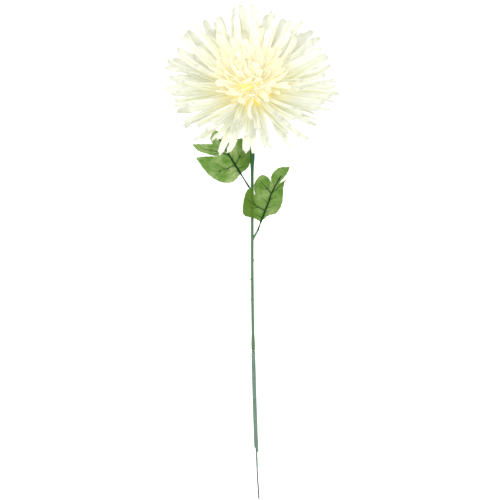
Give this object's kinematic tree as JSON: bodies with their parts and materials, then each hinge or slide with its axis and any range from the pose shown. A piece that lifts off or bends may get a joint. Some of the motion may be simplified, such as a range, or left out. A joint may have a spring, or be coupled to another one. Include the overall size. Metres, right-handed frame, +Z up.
{
  "type": "artificial chrysanthemum stem",
  "caption": "Single artificial chrysanthemum lying down: long strap petals round a tufted heart, thin moulded stem, two lobed leaves and a bare wire end.",
  "frame": {"origin": "on the surface the flower lies on, under the middle of its length and width", "axes": "+Y along the stem towards the bloom, +Z up off the surface, +X to the right in the picture"},
  "size_m": [0.1944, 0.5577, 0.1172],
  "materials": {
    "stem_green": "moulded, satin",
    "sleeve_grey_green": "smooth, satin",
    "wire_grey": "dull zinc",
    "calyx_green": "moulded, satin",
    "ray_cream": "woven, matt",
    "heart_yellow": "woven, matt",
    "leaf_green": "woven, matt",
    "rib_green": "moulded, satin"
  },
  "bodies": {
    "root": {"stem": "stem_green", "sleeve": "sleeve_grey_green", "wire": "wire_grey", "calyx": "calyx_green", "ray_petals": "ray_cream", "heart_petals": "heart_yellow", "leaf_left": "leaf_green", "leaf_left_rib": "rib_green", "leaf_right": "leaf_green", "leaf_right_rib": "rib_green"}
  },
  "joints": []
}
